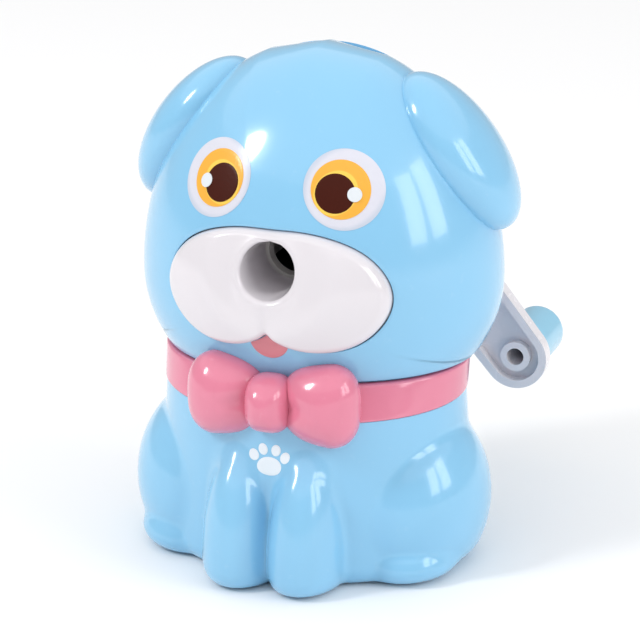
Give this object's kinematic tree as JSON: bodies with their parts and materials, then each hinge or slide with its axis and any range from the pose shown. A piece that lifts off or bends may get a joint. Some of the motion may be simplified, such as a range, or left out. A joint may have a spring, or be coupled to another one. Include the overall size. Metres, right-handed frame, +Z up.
{
  "type": "crank pencil sharpener",
  "caption": "Puppy-shaped desktop pencil sharpener with a side-turned rear crank, a helical cutter in the head and a shavings bin in the body.",
  "frame": {"origin": "middle of the anti-slip pad's underside, on the surface that the sharpener stands on", "axes": "+Z up, the face and the pencil hole look along -Y, the crank is behind along +Y, X is the width"},
  "size_m": [0.079, 0.0941, 0.1025],
  "materials": {
    "shell_blue": "gloss",
    "collar_pink": "gloss",
    "muzzle_white": "gloss",
    "crank_white": "gloss",
    "housing_black": "satin",
    "inner_white": "satin",
    "print_white": "printed ink",
    "print_amber": "printed ink",
    "print_brown": "printed ink",
    "print_glint": "printed ink",
    "print_coral": "printed ink",
    "pad_foam": "matt",
    "screw_steel": "zinc plated",
    "cutter_steel": "ground",
    "bush_brass": "turned"
  },
  "bodies": {
    "base": {"body_shell": "shell_blue", "base_plate": "shell_blue", "base_pad": "pad_foam", "base_screws": "screw_steel", "collar_bow": "collar_pink", "chest_print": "print_white"},
    "head": {"head_front_shell": "shell_blue", "head_rear_shell": "shell_blue", "muzzle_plate": "muzzle_white", "eye_whites": "print_white", "eye_irises": "print_amber", "eye_pupils": "print_brown", "eye_glints": "print_glint", "tongue_print": "print_coral", "neck_ring": "inner_white", "head_screws": "screw_steel", "gear_housing": "housing_black", "housing_screws": "screw_steel", "ring_gear": "inner_white", "shaft_bush": "bush_brass"},
    "crank": {"cutter_carrier": "cutter_steel", "cutter_pin": "cutter_steel", "crank_shaft": "cutter_steel", "crank_arm": "crank_white", "arm_screw": "screw_steel"},
    "cutter": {"helical_cutter": "cutter_steel", "cutter_pinion": "inner_white"},
    "knob": {"crank_knob": "shell_blue"}
  },
  "joints": [
    {"name": "head_lift", "type": "slide", "parent": "base", "child": "head", "axis": [0, 0, 1], "range_m": [0, 0.06]},
    {"name": "crank_spin", "type": "hinge", "parent": "head", "child": "crank", "pos_m": [0, 0.03, 0.065], "axis": [0, 1, 0], "continuous": true},
    {"name": "cutter_spin", "type": "hinge", "parent": "crank", "child": "cutter", "pos_m": [0, -0.0068, 0.0746], "axis": [0, 0.9848, -0.1736], "continuous": true},
    {"name": "knob_spin", "type": "hinge", "parent": "crank", "child": "knob", "pos_m": [0.03021, 0.05, 0.029], "axis": [0, 1, 0], "continuous": true}
  ],
  "couplings": [
    {"joint": "cutter_spin", "follows": "crank_spin", "ratio": -3}
  ]
}
